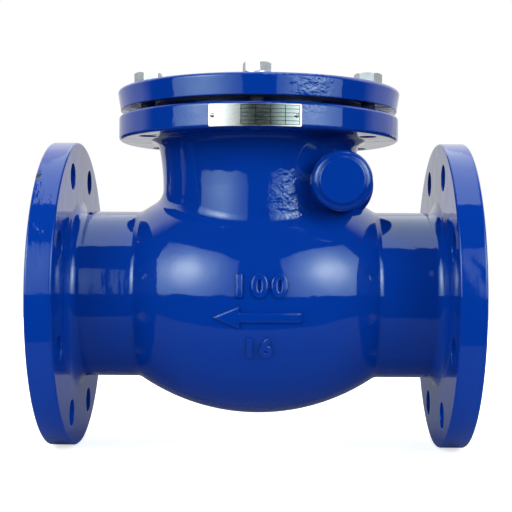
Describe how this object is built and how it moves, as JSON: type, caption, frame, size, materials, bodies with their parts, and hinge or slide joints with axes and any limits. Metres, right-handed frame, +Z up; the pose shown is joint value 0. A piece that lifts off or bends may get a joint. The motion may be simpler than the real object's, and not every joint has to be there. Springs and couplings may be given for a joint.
{
  "type": "swing check valve",
  "caption": "Flanged swing check valve with a barrel-shaped blue cast body, round bolted cover, hinge boss, and a swinging rubber-faced disc inside.",
  "frame": {"origin": "centre of the inlet flange's raised face, on the pipe axis", "axes": "+X out of the inlet along the pipe axis, against the flow; +Z up to the cover; +Y away from the side with the nameplate, along the hinge pin"},
  "size_m": [0.3, 0.22, 0.2646],
  "materials": {
    "blue_paint": "thick glossy blue enamel on cast iron",
    "zinc_steel": "bright zinc plated",
    "gasket": "dark graphite gasket",
    "plate_steel": "brushed",
    "bronze": "machined bronze",
    "copper_seal": "soft copper",
    "stainless": "turned stainless steel",
    "arm_iron": "cast, machined at bores",
    "disc_iron": "cast, machined",
    "facing_rubber": "smooth moulded rubber"
  },
  "bodies": {
    "valve": {"valve_body": "blue_paint", "cover": "blue_paint", "cover_gasket": "gasket", "cover_bolts": "zinc_steel", "cover_washers": "zinc_steel", "nameplate": "plate_steel", "nameplate_rivets": "plate_steel", "body_seat_ring": "bronze", "hinge_pin": "stainless", "pin_bush_front": "bronze", "pin_bush_rear": "bronze", "pin_spacer_front": "stainless", "pin_spacer_rear": "stainless", "pin_plug": "zinc_steel", "pin_plug_seal": "copper_seal"},
    "arm": {"hinge_arm": "arm_iron", "arm_bush": "bronze"},
    "disc": {"disc": "disc_iron", "disc_facing": "facing_rubber", "facing_retainer": "stainless", "retainer_screws": "stainless", "disc_washer": "stainless", "disc_nut": "stainless", "disc_split_pin": "stainless"}
  },
  "joints": [
    {"name": "arm_swing", "type": "hinge", "parent": "valve", "child": "arm", "pos_m": [-0.09301, 0, 0.07849], "axis": [0, 1, 0], "range_deg": [0, 55]},
    {"name": "disc_turn", "type": "hinge", "parent": "arm", "child": "disc", "pos_m": [-0.1, 0, 0], "axis": [0.9903, 0, -0.1392], "continuous": true}
  ]
}
